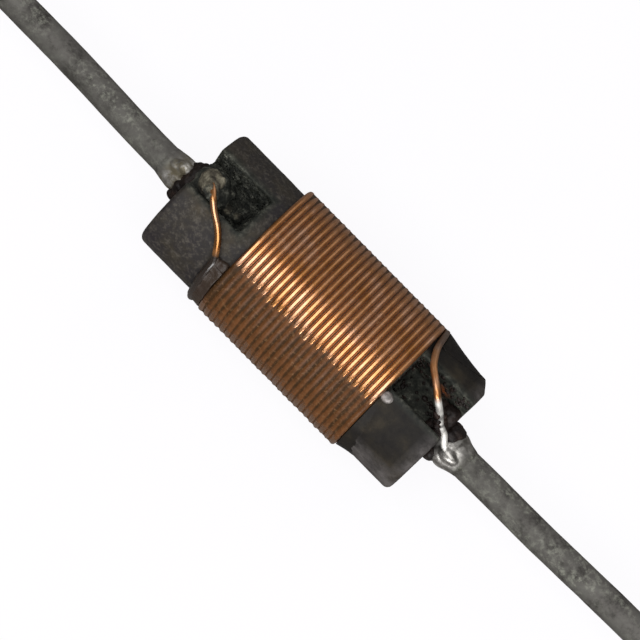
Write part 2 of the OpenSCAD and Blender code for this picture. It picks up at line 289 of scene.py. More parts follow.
def sintered_ferrite(settings):
    """Manganese-zinc ferrite, pressed, sintered and ground: a charcoal ceramic with a dry, slightly dusty face."""
    material, tree, place, shader = surface("sintered_ferrite")
    face, grain, clouds, rightward_darkening = ferrite_face(tree, place, settings.charcoal)
    axes = put(tree, "ShaderNodeSeparateXYZ", {"Vector": place}).outputs
    crumbs = put(tree, "ShaderNodeTexNoise", {"Vector": place, "Scale": 4.5, "Detail": 7.0, "Roughness": 0.8})
    # Inside the two slots and on their rims the face is damp with resin and strewn with crumbs of cement
    beside = put(tree, "ShaderNodeMath", {0: put(tree, "ShaderNodeMath", {0: axes["Y"]}, operation="ABSOLUTE"),
                                          1: SLOT_W / 2}, operation="SUBTRACT")
    behind = put(tree, "ShaderNodeMath", {0: FACE - SLOT_LEN, 1: put(
        tree, "ShaderNodeMath", {0: axes["X"]}, operation="ABSOLUTE")}, operation="SUBTRACT")
    outside = put(tree, "ShaderNodeMath", {0: crumbs, 1: 0.35, 2: put(
        tree, "ShaderNodeMath", {0: beside, 1: behind}, operation="MAXIMUM")}, operation="MULTIPLY_ADD")
    mouth = put(tree, "ShaderNodeMath", {
        0: put(tree, "ShaderNodeMapRange", {"Value": outside, "From Min": 0.22, "From Max": 0.4,
                                            "To Min": 1.0, "To Max": 0.0}),
        1: put(tree, "ShaderNodeMath", {0: axes["Z"], 1: SLOT_FLOOR - 0.1}, operation="GREATER_THAN")},
        operation="MULTIPLY")
    damp = put(tree, "ShaderNodeValToRGB", {"Fac": crumbs}, stops=(
        (0.4, "#1c1e1b"), (0.52, "#2e2f2a"), (0.61, "#4c4d45"), (0.72, "#84837a")))
    floored = put(tree, "ShaderNodeMix", {"Factor": mouth, "A": face, "B": damp}, data_type="RGBA")
    # Enamel and flux have run off the finish tail on to the wall beside it
    spill = put(tree, "ShaderNodeVectorMath", {0: place, 1: (3.56, 0.6, 0.9)}, operation="DISTANCE")
    near = put(tree, "ShaderNodeMapRange", {"Value": spill.outputs["Value"], "From Min": 0.06, "From Max": 0.36,
                                            "To Min": 1.0, "To Max": 0.0})
    flecked = put(tree, "ShaderNodeMath", {0: near, 1: put(tree, "ShaderNodeMapRange", {
        "Value": crumbs, "From Min": 0.44, "From Max": 0.6})}, operation="MULTIPLY")
    spilled = put(tree, "ShaderNodeMix", {"Factor": flecked, "A": floored, "B": linear("#8a4418")},
                  data_type="RGBA")
    # Handling has rubbed the edges to a paler grey; the same grey on the rim of the right end and on its near side is
    # a painted highlight
    edge = put(tree, "ShaderNodeAttribute", attribute_name="edge")
    right_end_highlight = put(tree, "ShaderNodeMapRange", {
        "Value": axes["X"], "From Min": FACE - 0.4, "From Max": FACE - 0.04})
    near_side_highlight = put(tree, "ShaderNodeMath", {0: put(tree, "ShaderNodeMapRange", {
        "Value": axes["Y"], "From Min": -1.83, "From Max": -1.7, "To Min": 1.0, "To Max": 0.0}), 1: put(
        tree, "ShaderNodeMath", {0: axes["X"], 1: COIL_RIGHT}, operation="GREATER_THAN")}, operation="MULTIPLY")
    rim = put(tree, "ShaderNodeMath", {0: right_end_highlight, 1: near_side_highlight}, operation="MAXIMUM")
    patchy = put(tree, "ShaderNodeMapRange", {"Value": put(tree, "ShaderNodeTexNoise", {
        "Vector": place, "Scale": 2.0, "Detail": 6.0, "Roughness": 0.7}), "From Min": 0.3, "From Max": 0.62})
    wear_and_highlight = put(tree, "ShaderNodeMath", {0: put(tree, "ShaderNodeMath", {
        0: put(tree, "ShaderNodeMath", {0: edge.outputs["Fac"], 1: rim}, operation="MAXIMUM"), 1: patchy},
        operation="MULTIPLY"), 1: put(tree, "ShaderNodeMath", {0: 1.0, 1: mouth}, operation="SUBTRACT")},
        operation="MULTIPLY")
    worn = put(tree, "ShaderNodeMix", {"Factor": wear_and_highlight, "A": spilled, "B": linear(settings.worn_edge_and_highlight)},
               data_type="RGBA")
    bump = put(tree, "ShaderNodeBump", {"Height": grain, "Strength": 0.8, "Distance": 0.014 * MM})
    fill(tree, shader, Base_Color=worn, Roughness=put(tree, "ShaderNodeMapRange", {
        "Value": clouds, "From Min": 0.3, "From Max": 0.7, "To Min": 0.5, "To Max": 0.72}),
        Normal=bump, Specular_IOR_Level=put(tree, "ShaderNodeMapRange", {"Value": put(
            tree, "ShaderNodeMath", {0: mouth, 1: rightward_darkening}, operation="MAXIMUM"), "To Min": 0.3, "To Max": 0.12}))
    return material


def enamelled_copper(settings):
    """Enamelled copper magnet wire: drawn copper under a clear amber enamel, dipped in solder at its end."""
    material, tree, place, shader = surface("enamelled_copper")
    tone = put(tree, "ShaderNodeTexNoise", {"Vector": place, "Scale": 1.6, "Detail": 4.0, "Roughness": 0.6})
    copper = put(tree, "ShaderNodeValToRGB", {"Fac": tone}, stops=(
        (0.34, "#c79a7c"), (0.5, tuple(settings.copper)), (0.66, "#b47a44")))
    specks = put(tree, "ShaderNodeTexNoise", {"Vector": place, "Scale": 12.0, "Detail": 4.0, "Roughness": 0.7})
    spotted = put(tree, "ShaderNodeMix", {"Factor": put(tree, "ShaderNodeMapRange", {
        "Value": specks, "From Min": 0.57, "From Max": 0.74, "To Max": 0.6}), "A": copper,
        "B": linear("#5b3b24")}, data_type="RGBA")
    tin = put(tree, "ShaderNodeAttribute", attribute_name="tinned").outputs["Fac"]
    dipped = put(tree, "ShaderNodeMix", {"Factor": tin, "A": spotted, "B": linear("#eceae6")}, data_type="RGBA")
    varnish = put(tree, "ShaderNodeAttribute", attribute_name="varnished").outputs["Fac"]
    varnished = put(tree, "ShaderNodeMix", {"Factor": varnish, "A": dipped, "B": linear("#231c18")},
                    data_type="RGBA")
    # The enamel is scuffed duller behind the bright front of the winding
    scuffed = put(tree, "ShaderNodeMapRange", {"Value": put(tree, "ShaderNodeSeparateXYZ", {
        "Vector": place}).outputs["Y"], "From Min": -0.7, "From Max": -0.1, "To Max": 0.17})
    rough = put(tree, "ShaderNodeMath", {0: scuffed, 1: put(tree, "ShaderNodeMapRange", {
        "Value": specks, "From Min": 0.35, "From Max": 0.7, "To Min": 0.2, "To Max": 0.32})})
    # The tin on the wire's end is as soft and uneven as solder
    softened = put(tree, "ShaderNodeMath", {0: tin, 1: 0.28, 2: rough}, operation="MULTIPLY_ADD")
    fill(tree, shader, Base_Color=varnished, Roughness=softened, Coat_Weight=put(
        tree, "ShaderNodeMapRange", {"Value": varnish, "To Min": 0.4, "To Max": 0.05}), Coat_Roughness=put(
        tree, "ShaderNodeMath", {0: scuffed, 1: 0.12}),
         Metallic=put(tree, "ShaderNodeMapRange", {"Value": varnish, "To Min": 1.0, "To Max": 0.0}))
    return material


def tin_skin(tree, place, tin):
    """Colour and roughness of hot-dipped tin that has gone dull, with rows of paler flecks."""
    blotch = put(tree, "ShaderNodeTexNoise", {"Vector": place, "Scale": 1.9, "Detail": 7.0, "Roughness": 0.7})
    dull = put(tree, "ShaderNodeValToRGB", {"Fac": blotch}, stops=(
        (0.36, "#454240"), (0.5, tuple(tin)), (0.64, "#6b6965")))
    fine = put(tree, "ShaderNodeTexNoise", {"Vector": place, "Scale": 6.5, "Detail": 6.0, "Roughness": 0.75})
    rows = put(tree, "ShaderNodeTexNoise", {"Vector": put(
        tree, "ShaderNodeMapping", {"Vector": place, "Scale": (0.3, 1.6, 1.6)}), "Scale": 1.2, "Detail": 2.0})
    flecks = put(tree, "ShaderNodeMath", {
        0: put(tree, "ShaderNodeMapRange", {"Value": rows, "From Min": 0.45, "From Max": 0.62}),
        1: put(tree, "ShaderNodeMapRange", {"Value": fine, "From Min": 0.48, "From Max": 0.66, "To Max": 0.8})},
        operation="MULTIPLY")
    flecked = put(tree, "ShaderNodeMix", {"Factor": flecks, "A": dull, "B": linear("#9a9b90")}, data_type="RGBA")
    # Its near side is darkened to a dark olive, a painted shade
    low = put(tree, "ShaderNodeMapRange", {"Value": put(tree, "ShaderNodeMath", {0: fine, 1: 0.4, 2: put(
        tree, "ShaderNodeSeparateXYZ", {"Vector": place}).outputs["Y"]}, operation="MULTIPLY_ADD"),
        "From Min": 0.0, "From Max": 0.42, "To Min": 0.42, "To Max": 0.0})
    colour = put(tree, "ShaderNodeMix", {"Factor": low, "A": flecked, "B": linear("#30312a")}, data_type="RGBA")
    return colour, put(tree, "ShaderNodeMapRange", {
        "Value": blotch, "From Min": 0.3, "From Max": 0.7, "To Min": 0.8, "To Max": 0.62}), fine


def tinned_copper(settings):
    """Tinned copper wire: a hot-dipped tin skin, dull, blotched and flecked."""
    material, tree, place, shader = surface("tinned_copper")
    colour, rough, fine = tin_skin(tree, place, settings.tin)
    bump = put(tree, "ShaderNodeBump", {"Height": fine, "Strength": 0.35, "Distance": 0.015 * MM})
    fill(tree, shader, Base_Color=colour, Metallic=0.7, Normal=bump, Roughness=rough)
    return material


def soft_solder(name, settings, tin, tint, share):
    """Tin-lead solder that has frozen lumpy: half bright, with a tint of flux baked on to it."""
    material, tree, place, shader = surface(name)
    frost = put(tree, "ShaderNodeTexNoise", {"Vector": place, "Scale": 2.6, "Detail": 4.0, "Roughness": 0.6})
    metal = put(tree, "ShaderNodeValToRGB", {"Fac": frost}, stops=(
        (0.36, "#7d7b77"), (0.5, tuple(settings.solder)), (0.64, "#d8d6d2")))
    flux = put(tree, "ShaderNodeMapRange", {"Value": put(tree, "ShaderNodeTexNoise", {
        "Vector": place, "Scale": 3.4, "Detail": 5.0, "Roughness": 0.7}), "From Min": 0.62 - 0.3 * share,
        "From Max": 0.8 - 0.3 * share})
    stained = put(tree, "ShaderNodeMix", {"Factor": flux, "A": metal, "B": linear(tint)}, data_type="RGBA")
    # At its outer end the solder thins out into the lead's own tin
    colour, rough, fine = tin_skin(tree, place, tin)
    out = put(tree, "ShaderNodeMapRange", {"Value": put(tree, "ShaderNodeMath", {0: put(
        tree, "ShaderNodeSeparateXYZ", {"Vector": place}).outputs["X"]}, operation="ABSOLUTE"),
        "From Min": FACE + 0.58, "From Max": FACE + 0.86})
    faded = put(tree, "ShaderNodeMix", {"Factor": out, "A": stained, "B": colour}, data_type="RGBA")
    shine = put(tree, "ShaderNodeMapRange", {"Value": frost, "From Min": 0.3, "From Max": 0.7,
                                             "To Min": 0.27 + 0.15 * share, "To Max": 0.42 + 0.15 * share})
    bump = put(tree, "ShaderNodeBump", {"Height": frost, "Strength": 0.3, "Distance": 0.02 * MM})
    fill(tree, shader, Base_Color=faded, Normal=bump, Metallic=put(
        tree, "ShaderNodeMapRange", {"Value": flux, "To Min": 1.0, "To Max": 0.4}), Roughness=put(
        tree, "ShaderNodeMix", {"Factor": out, "A": shine, "B": rough}, data_type="FLOAT"))
    return material


def grainy_cement(settings):
    """Ceramic potting cement: sandy and matt, pale where it stands dry and nearly black where resin soaked it."""
    material, tree, place, shader = surface("grainy_cement")
    sand = put(tree, "ShaderNodeTexNoise", {"Vector": place, "Scale": 4.0, "Detail": 8.0, "Roughness": 0.75})
    dry = put(tree, "ShaderNodeValToRGB", {"Fac": sand}, stops=(
        (0.38, "#28241e"), (0.5, "#4b463b"), (0.58, tuple(settings.cement)), (0.7, "#8d8777")))
    soaked = put(tree, "ShaderNodeValToRGB", {"Fac": sand}, stops=(
        (0.4, "#161815"), (0.53, "#2a2b26"), (0.66, "#63635a")))
    stands = put(tree, "ShaderNodeMapRange", {"Value": put(tree, "ShaderNodeMath", {
        0: sand, 1: 0.8, 2: put(tree, "ShaderNodeAttribute", attribute_name="dry").outputs["Fac"]},
        operation="MULTIPLY_ADD"), "From Min": 0.72, "From Max": 1.05})
    body = put(tree, "ShaderNodeMix", {"Factor": stands, "A": soaked, "B": dry}, data_type="RGBA")
    bump = put(tree, "ShaderNodeBump", {"Height": sand, "Strength": 0.7, "Distance": 0.03 * MM})
    fill(tree, shader, Base_Color=body, Roughness=0.85, Normal=bump, Specular_IOR_Level=0.3)
    return material


def dark_resin(settings):
    """Black-brown potting resin and burnt flux: run, cured and half glossy."""
    material, tree, place, shader = surface("dark_resin")
    cloud = put(tree, "ShaderNodeTexNoise", {"Vector": place, "Scale": 4.0, "Detail": 5.0, "Roughness": 0.7})
    body = put(tree, "ShaderNodeValToRGB", {"Fac": cloud}, stops=(
        (0.4, "#0f0908"), (0.55, tuple(settings.resin)), (0.72, "#382a24")))
    bump = put(tree, "ShaderNodeBump", {"Height": cloud, "Strength": 0.5, "Distance": 0.02 * MM})
    fill(tree, shader, Base_Color=body, Normal=bump, Roughness=put(
        tree, "ShaderNodeMapRange", {"Value": cloud, "To Min": 0.4, "To Max": 0.7}), Specular_IOR_Level=0.22)
    return material


def brown_lacquer(settings):
    """Dipping lacquer over copper turns: thin and coppery on their crests, thick and dark between them."""
    material, tree, place, shader = surface("brown_lacquer")
    depth = put(tree, "ShaderNodeAttribute", attribute_name="depth").outputs["Fac"]
    cloud = put(tree, "ShaderNodeTexNoise", {"Vector": place, "Scale": 2.0, "Detail": 8.0, "Roughness": 0.8})
    thick = put(tree, "ShaderNodeMath", {0: put(tree, "ShaderNodeMath", {0: cloud, 1: 0.5},
                                                operation="SUBTRACT"), 1: 2.2, 2: depth},
                operation="MULTIPLY_ADD")
    body = put(tree, "ShaderNodeValToRGB", {"Fac": thick}, stops=(
        (0.0, "#5e3a1e"), (0.45, tuple(settings.lacquer)), (1.0, "#32200d")))
    specks = put(tree, "ShaderNodeTexNoise", {"Vector": place, "Scale": 11.0, "Detail": 5.0, "Roughness": 0.75})
    dusty = put(tree, "ShaderNodeMix", {"Factor": put(tree, "ShaderNodeMapRange", {
        "Value": specks, "From Min": 0.54, "From Max": 0.7, "To Max": 0.7}), "A": body,
        "B": linear("#735539")}, data_type="RGBA")
    bump = put(tree, "ShaderNodeBump", {"Height": specks, "Strength": 0.5, "Distance": 0.012 * MM})
    fill(tree, shader, Base_Color=dusty, Normal=bump, Roughness=0.45, Specular_IOR_Level=0.16)
    return material


def sooty_varnish(name, charcoal, brown):
    """Dipping varnish run out over bare ferrite: a thin dark skin, as matt and dusty as the rod under it."""
    material, tree, place, shader = surface(name)
    face, grain, clouds, rightward_darkening = ferrite_face(tree, place, charcoal)
    bump = put(tree, "ShaderNodeBump", {"Height": grain, "Strength": 0.6, "Distance": 0.012 * MM})
    tinged = put(tree, "ShaderNodeMix", {"Factor": brown, "A": face, "B": linear("#2a1d13")}, data_type="RGBA")
    fill(tree, shader, Base_Color=tinged, Normal=bump, Roughness=mix(0.55, 0.42, brown),
         Specular_IOR_Level=mix(0.14, 0.42, brown))
    return material


def droplet_with_painted_highlight():
    """A bead of clear lacquer, very glossy, its pale grey colour a painted highlight in part."""
    material, tree, place, shader = surface("droplet_with_painted_highlight")
    cloud = put(tree, "ShaderNodeTexNoise", {"Vector": place, "Scale": 9.0, "Detail": 4.0})
    # The pale grey clouds stand in part for the drop's highlight, painted into its colour
    body = put(tree, "ShaderNodeValToRGB", {"Fac": cloud}, stops=((0.4, "#57524f"), (0.62, "#8c8683")))
    fill(tree, shader, Base_Color=body, Roughness=0.5, Coat_Weight=0.2, Coat_Roughness=0.35)
    return material


# ---------------------------------------------------------------- meshes


def around(x, angle, radius):
    """Point at x along the rod, at an angle from +Z towards -Y, and at a distance from its axis."""
    a = math.radians(angle)
    return Vector((x, -radius * math.sin(a), radius * math.cos(a)))


def mix(a, b, t):
    return a + (b - a) * t


def clamp(value):
    return max(0.0, min(1.0, value))


def smooth_path(points, steps):
    """Smooth curve through points, without the first and the last, which only set its direction."""
    made = []
    for k in range(1, len(points) - 2):
        a, b, c, d = (Vector(p) for p in points[k - 1:k + 3])
        for s in range(steps):
            t = s / steps
            made.append((2 * b + (c - a) * t + (2 * a - 5 * b + 4 * c - d) * t * t
                         + (3 * b - a - 3 * c + d) * t ** 3) / 2)
    return made


def coil_place(turn):
    """Place of the wire's centre at a turn number, which may be a fraction, as x, angle, radius."""
    opened = (-turn / START_SHARE) ** 1.15 if turn < 0 else 0.0
    return (COIL_LEFT + PITCH * turn - START_OPEN * opened, LEAVE_ANGLE + 360 * turn, COIL_R)


def wander(turn, shake):
    """How far a turn lies off its place, along the rod and away from it."""
    return (0.003 * shake * noise.noise(Vector((turn * 5.1, 0.0, 3.7))),
            0.012 * shake * noise.noise(Vector((turn * 3.3, 8.0, 0.0))))


def tail_place(start, end, share):
    return (mix(start, end, share[0]), share[1] * SLOT_EDGE, mix(COIL_R, FLOOR_R, share[2]))


def wire_places(rings, steps, shake):
    """The whole wire from the left lead to the right one, and how far each place of it is tinned."""
    start = smooth_path(
        [(-FACE - e[0], e[1], e[2]) for e in START_END]
        + [tail_place(COIL_LEFT, -FACE, t) for t in START_TAIL]
        + [coil_place(-START_SHARE), coil_place(1 / 24 - START_SHARE)], steps)
    first = round(-START_SHARE * rings)
    coil = []
    for i in range(first, TURNS * rings + 1):
        x, angle, radius = coil_place(i / rings)
        sway, lift = wander(i / rings, shake)
        coil.append(Vector((x + sway, angle, radius + lift)))
    finish = smooth_path(
        [Vector(coil_place(TURNS - k / 24)) - Vector((0, 360 * (TURNS + 1), 0)) for k in (1, 0)]
        + [tail_place(COIL_RIGHT, FACE, t) for t in FINISH_TAIL]
        + [(FACE + e[0], e[1], e[2]) for e in FINISH_END], steps)
    places = start + coil + finish[1:]
    points = [around(*p) for p in places]
    last = len(start) + len(coil)
    tinned = [clamp((p[0] - 3.62) / 0.1) if k > last else clamp((-4.3 - p[0]) / 0.1)
              for k, p in enumerate(places)]
    # Lacquer has crept over the open start turn and the finish tail's first bend, resin over its tin
    varnished = [clamp((k - len(start) + 9) / 5) * clamp((len(start) - first - k) / 9) if k < last else
                 max(0.9 * clamp((last + 52 - k) / 26),
                     clamp((p[0] - 3.84) / 0.1) * clamp((4.38 - p[0]) / 0.1) * (0.45 + 0.4 * math.sin(0.7 * k)))
                 for k, p in enumerate(places)]
    return points, {"tinned": tinned, "varnished": varnished}


def polyline(name, points, **attributes):
    """A mesh of points joined in a row, with numbers kept on them."""
    mesh = bpy.data.meshes.new(name)
    mesh.from_pydata(points, [(i, i + 1) for i in range(len(points) - 1)], [])
    for label, values in attributes.items():
        mesh.attributes.new(label, "FLOAT", "POINT").data.foreach_set("value", values)
    return mesh


def copy_of_node(node):
    """The merged mesh of a CAD node, in millimetres."""
    work = bmesh.new()
    work.from_mesh(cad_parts[node].data)
    bmesh.ops.transform(work, matrix=Matrix.Scale(1 / MM, 4), verts=work.verts)
    bmesh.ops.remove_doubles(work, verts=work.verts, dist=0.0005)
    mesh = bpy.data.meshes.new(node + "_copy")
    work.to_mesh(mesh)
    work.free()
    return mesh


def blobs(name, balls, base=None):
    """Overlapping balls, each a centre, a radius and its flatness, to be fused by voxels with a base."""
    work = bmesh.new()
    if base:
        work.from_mesh(base)
    for centre, radius, stretch in balls:
        placed = Matrix.Translation(Vector(centre)) @ Matrix.Diagonal((*stretch, 1.0))
        bmesh.ops.create_icosphere(work, subdivisions=3, radius=radius, matrix=placed)
    mesh = bpy.data.meshes.new(name)
    work.to_mesh(mesh)
    work.free()
    return mesh


def slot_lining(name, side):
    """The floor, walls and inner end of a slot as loose faces, to strew crumbs on."""
    inner, outer, wall = side * (FACE - SLOT_LEN), side * (FACE - 0.08), SLOT_W / 2
    low, high = SLOT_FLOOR, SLOT_RIM - 0.12
    corners = ((inner, -wall, low), (outer, -wall, low), (outer, wall, low), (inner, wall, low),
               (inner, -wall, high), (outer, -wall, high), (outer, wall, high), (inner, wall, high))
    mesh = bpy.data.meshes.new(name)
    mesh.from_pydata(corners, [], [(0, 1, 2, 3), (0, 1, 5, 4), (3, 2, 6, 7), (0, 3, 7, 4)])
    return mesh


def lathe_along_x(name, profile, segments=48):
    """A solid of revolution round the X axis from (x, radius) pairs, closed at both ends."""
    work = bmesh.new()
    rings = [[work.verts.new(around(x, 360 * k / segments, r)) for k in range(segments)] for x, r in profile]
    for low, high in zip(rings, rings[1:]):
        for k in range(segments):
            n = (k + 1) % segments
            work.faces.new((low[k], low[n], high[n], high[k]))
    work.faces.new(rings[0][::-1])
    work.faces.new(rings[-1])
    bmesh.ops.recalc_face_normals(work, faces=work.faces)
    mesh = bpy.data.meshes.new(name)
    work.to_mesh(mesh)
    work.free()
    return mesh


def settled(obj):
    """Turns what an object's modifiers make into its own plain mesh, and brings it to metres."""
    bpy.context.view_layer.update()
    graph = bpy.context.evaluated_depsgraph_get()
    made = bpy.data.meshes.new_from_object(obj.evaluated_get(graph), preserve_all_data_layers=True,
                                           depsgraph=graph)
    obj.modifiers.clear()
    obj.data = made
    made.name = obj.name
    made.transform(Matrix.Scale(MM, 4))
    made.update()
    return obj


def new_piece(name, mesh):
    obj = bpy.data.objects.new(name, mesh)
    bpy.context.scene.collection.objects.link(obj)
    return obj


def give(obj, tree, values):
    """Puts a tree on an object, and sets its inputs by their identifiers."""
    modifier = obj.modifiers.new(tree.name, "NODES")
    modifier.node_group = tree
    for item in tree.interface.items_tree:
        if item.in_out == "INPUT" and item.name in values:
            modifier[item.identifier] = values[item.name]


def cast(name, mesh, voxel, values, relax=0):
    """A solid fused by voxels, or only divided, relaxed a little and then given its lumps, grain and wear."""
    obj = new_piece(name, mesh)
    if voxel:
        fuse = obj.modifiers.new("fuse", "REMESH")
        fuse.mode, fuse.voxel_size = "VOXEL", voxel
    else:
        divide = obj.modifiers.new("divide", "SUBSURF")
        divide.subdivision_type, divide.levels, divide.render_levels = "SIMPLE", 2, 2
    if relax:
        soften = obj.modifiers.new("soften", "SMOOTH")
        soften.factor, soften.iterations = 0.5, relax
    give(obj, tree_named("worn_surface", worn_surface_tree), values)
    return settled(obj)


def tree_named(name, build):
    return bpy.data.node_groups.get(name) or build()


def finished(obj, slot, *nodes):
    """Lets a piece ride on the part, and hides the frame's nodes that it stands for. Its slot is not used."""
    if nodes:
        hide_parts(*nodes)
    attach(obj, "root")
    return obj


# ---------------------------------------------------------------- settings


class RodSettings(bpy.types.PropertyGroup):
    """Looks of the ferrite rod."""
    voxel: FloatProperty(name="Voxel", description="Size of the rod's surface cells, in millimetres",
                         default=0.045, min=0.03, max=0.2)
    wear: FloatProperty(name="Edge wear", description="Depth of the chips along its edges, in millimetres",
                        default=0.05, min=0.0, max=0.2)
    charcoal: FloatVectorProperty(name="Charcoal", description="Colour of the sintered face, in sRGB",
                                  subtype="COLOR_GAMMA", default=(0.114, 0.1, 0.098), min=0, max=1)
    # The worn edge colour also paints the highlight on the right end's rim and near side
    worn_edge_and_highlight: FloatVectorProperty(name="Worn edge", description="Colour of rubbed edges, in sRGB",
                                   subtype="COLOR_GAMMA", default=(0.31, 0.295, 0.29), min=0, max=1)


class WindingSettings(bpy.types.PropertyGroup):
    """Looks of the enamelled copper wire."""
    radius: FloatProperty(name="Wire radius", description="Radius over the enamel, in metres",
                          default=0.00009, unit="LENGTH", precision=6)
    rings: IntProperty(name="Rings", description="Rings in one turn", default=72, min=24, max=120)
    sides: IntProperty(name="Sides", description="Sides of the wire", default=14, min=8, max=32)
    shake: FloatProperty(name="Unevenness", description="How unevenly the turns lie", default=1.0, min=0, max=2)
    copper: FloatVectorProperty(name="Copper", description="Colour of copper under its enamel, in sRGB",
                                subtype="COLOR_GAMMA", default=(0.76, 0.54, 0.36), min=0, max=1)


class LeadSettings(bpy.types.PropertyGroup):
    """Looks of the tinned leads."""
    sides: IntProperty(name="Sides", description="Sides of a lead", default=48, min=16, max=96)
    tin: FloatVectorProperty(name="Tin", description="Colour of the dull tin skin, in sRGB",
                             subtype="COLOR_GAMMA", default=(0.4, 0.388, 0.376), min=0, max=1)


class SolderSettings(bpy.types.PropertyGroup):
    """Looks of the solder."""
    solder: FloatVectorProperty(name="Solder", description="Colour of the frozen solder, in sRGB",
                                subtype="COLOR_GAMMA", default=(0.64, 0.63, 0.615), min=0, max=1)


class CementSettings(bpy.types.PropertyGroup):
    """Looks of the cement and the resin."""
    cement: FloatVectorProperty(name="Cement", description="Colour of the pale cement, in sRGB",
                                subtype="COLOR_GAMMA", default=(0.4, 0.382, 0.325), min=0, max=1)
    resin: FloatVectorProperty(name="Resin", description="Colour of the dark resin, in sRGB",
                               subtype="COLOR_GAMMA", default=(0.11, 0.075, 0.062), min=0, max=1)


class LacquerSettings(bpy.types.PropertyGroup):
    """Looks of the lacquer on the winding."""
    from_angle: FloatProperty(name="From", description="Where round the rod the film begins, in degrees",
                              default=34.0, min=0, max=90)
    to_angle: FloatProperty(name="To", description="Where round the rod the film ends, in degrees",
                            default=235.0, min=120, max=280)
    lacquer: FloatVectorProperty(name="Lacquer", description="Colour of the lacquered copper, in sRGB",
                                 subtype="COLOR_GAMMA", default=(0.29, 0.175, 0.08), min=0, max=1)


class StageSettings(bpy.types.PropertyGroup):
    """Camera, floor and light."""
    distance: FloatProperty(name="Distance", description="From the camera to its aim", default=0.0895,
                            unit="LENGTH", precision=4)
    key: FloatProperty(name="Key light", description="Power of the large soft lamp, in watts", default=0.5)
    side: FloatProperty(name="Side light", description="Power of the low strip lamp, in watts", default=0.45)
    back: FloatProperty(name="Back light", description="Power of the strip lamp behind, in watts", default=0.12)
    sky: FloatProperty(name="Sky", description="Strength of the even light all round", default=0.3)


# ---------------------------------------------------------------- pieces


